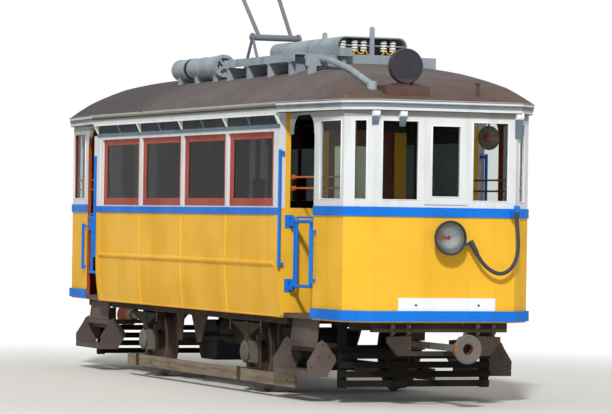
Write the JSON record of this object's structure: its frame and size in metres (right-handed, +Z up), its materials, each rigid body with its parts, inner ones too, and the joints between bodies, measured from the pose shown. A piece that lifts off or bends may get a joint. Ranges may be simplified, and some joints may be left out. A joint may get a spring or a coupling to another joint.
{
  "type": "electric tram",
  "caption": "Two-axle electric tram with a glazed saloon, open-sided platforms with gates, sliding doors, couplers and a bow collector.",
  "frame": {"origin": "on the ground under the middle of the car, where the wheel flanges stand", "axes": "+X towards the front end with the hanging cable, +Y across to the car's left side, +Z up"},
  "size_m": [9.76, 2.332, 5.2178],
  "materials": {
    "yellow_paint": "worn gloss yellow",
    "blue_paint": "gloss blue",
    "white_paint": "weathered white",
    "stained_wood": "red-brown stain",
    "roof_canvas": "painted canvas",
    "roof_gear": "weathered grey",
    "underframe_steel": "dusty black-brown",
    "wheel_steel": "rusty steel",
    "coupler_iron": "worn, rust spots",
    "plank": "weathered",
    "floor_wood": "worn boards",
    "door_wood": "varnished",
    "bench_wood": "varnished",
    "window_glass": "clear",
    "copper_tube": "dull copper",
    "dark_rubber": "matte",
    "dark_metal": "dark",
    "cabinet_paint": "pale grey-green"
  },
  "bodies": {
    "car": {"axle_boxes": "underframe_steel", "axle_guards": "underframe_steel", "belts": "blue_paint", "benches": "bench_wood", "brake_gear": "underframe_steel", "bulkhead_front": "yellow_paint", "bulkhead_rear": "yellow_paint", "bumpers": "blue_paint", "cab_lamp": "dark_metal", "cabinet": "cabinet_paint", "collector_base": "roof_gear", "cornice": "white_paint", "coupler_guides": "underframe_steel", "dash_front": "yellow_paint", "dash_rear": "yellow_paint", "door_arches": "white_paint", "driving_stands": "dark_metal", "floor": "floor_wood", "gate_hinges": "blue_paint", "handrails": "blue_paint", "headlamps": "dark_metal", "jumper_cable": "dark_rubber", "jumper_plug": "dark_rubber", "jumper_sockets": "dark_metal", "leaf_springs": "underframe_steel", "lifeguards": "underframe_steel", "motors": "dark_metal", "number_plate": "white_paint", "poles": "copper_tube", "resistor_bank": "roof_gear", "roof": "roof_canvas", "roof_conduit": "roof_gear", "roof_drum": "roof_gear", "roof_signals": "dark_metal", "sashes": "stained_wood", "side_guards": "plank", "side_panel_far": "yellow_paint", "side_panel_near": "yellow_paint", "steps": "underframe_steel", "underframe": "underframe_steel", "vent_hoods": "white_paint", "vestibule_frame_front": "white_paint", "vestibule_frame_rear": "white_paint", "window_frames": "white_paint", "window_panes": "window_glass", "window_rails": "copper_tube"},
    "wheelset_front": {"wheelset_front": "wheel_steel"},
    "wheelset_rear": {"wheelset_rear": "wheel_steel"},
    "coupler_front": {"coupler_front": "coupler_iron"},
    "coupler_rear": {"coupler_rear": "coupler_iron"},
    "saloon_door_front": {"saloon_door_front": "door_wood"},
    "saloon_door_rear": {"saloon_door_rear": "door_wood"},
    "gate_front_near": {"gate_front_near": "blue_paint"},
    "gate_front_far": {"gate_front_far": "blue_paint"},
    "gate_rear_near": {"gate_rear_near": "blue_paint"},
    "gate_rear_far": {"gate_rear_far": "blue_paint"},
    "collector_bow": {"collector_bow": "roof_gear"}
  },
  "joints": [
    {"name": "axle_front", "type": "hinge", "parent": "car", "child": "wheelset_front", "pos_m": [1.56, 0, 0.41], "axis": [0, 1, 0], "continuous": true},
    {"name": "coupler_swing_front", "type": "hinge", "parent": "car", "child": "coupler_front", "pos_m": [3.7, 0, 0.57], "axis": [0, 0, 1], "range_deg": [-25, 25]},
    {"name": "saloon_door_slide_front", "type": "slide", "parent": "car", "child": "saloon_door_front", "axis": [0, 1, 0], "range_m": [0, 0.65]},
    {"name": "gate_swing_front_near", "type": "hinge", "parent": "car", "child": "gate_front_near", "pos_m": [2.87, -0.975, 1.4], "axis": [0, 0, 1], "range_deg": [0, 90]},
    {"name": "gate_swing_front_far", "type": "hinge", "parent": "car", "child": "gate_front_far", "pos_m": [2.87, 0.975, 1.4], "axis": [0, 0, 1], "range_deg": [-90, 0]},
    {"name": "axle_rear", "type": "hinge", "parent": "car", "child": "wheelset_rear", "pos_m": [-1.56, 0, 0.41], "axis": [0, 1, 0], "continuous": true},
    {"name": "coupler_swing_rear", "type": "hinge", "parent": "car", "child": "coupler_rear", "pos_m": [-3.7, 0, 0.57], "axis": [0, 0, 1], "range_deg": [-25, 25]},
    {"name": "saloon_door_slide_rear", "type": "slide", "parent": "car", "child": "saloon_door_rear", "axis": [0, -1, 0], "range_m": [0, 0.65]},
    {"name": "gate_swing_rear_near", "type": "hinge", "parent": "car", "child": "gate_rear_near", "pos_m": [-2.87, -0.975, 1.4], "axis": [0, 0, 1], "range_deg": [-90, 0]},
    {"name": "gate_swing_rear_far", "type": "hinge", "parent": "car", "child": "gate_rear_far", "pos_m": [-2.87, 0.975, 1.4], "axis": [0, 0, 1], "range_deg": [0, 90]},
    {"name": "bow_swing", "type": "hinge", "parent": "car", "child": "collector_bow", "pos_m": [-0.14, 0, 3.7], "axis": [0, 1, 0], "range_deg": [-43, 90]}
  ]
}
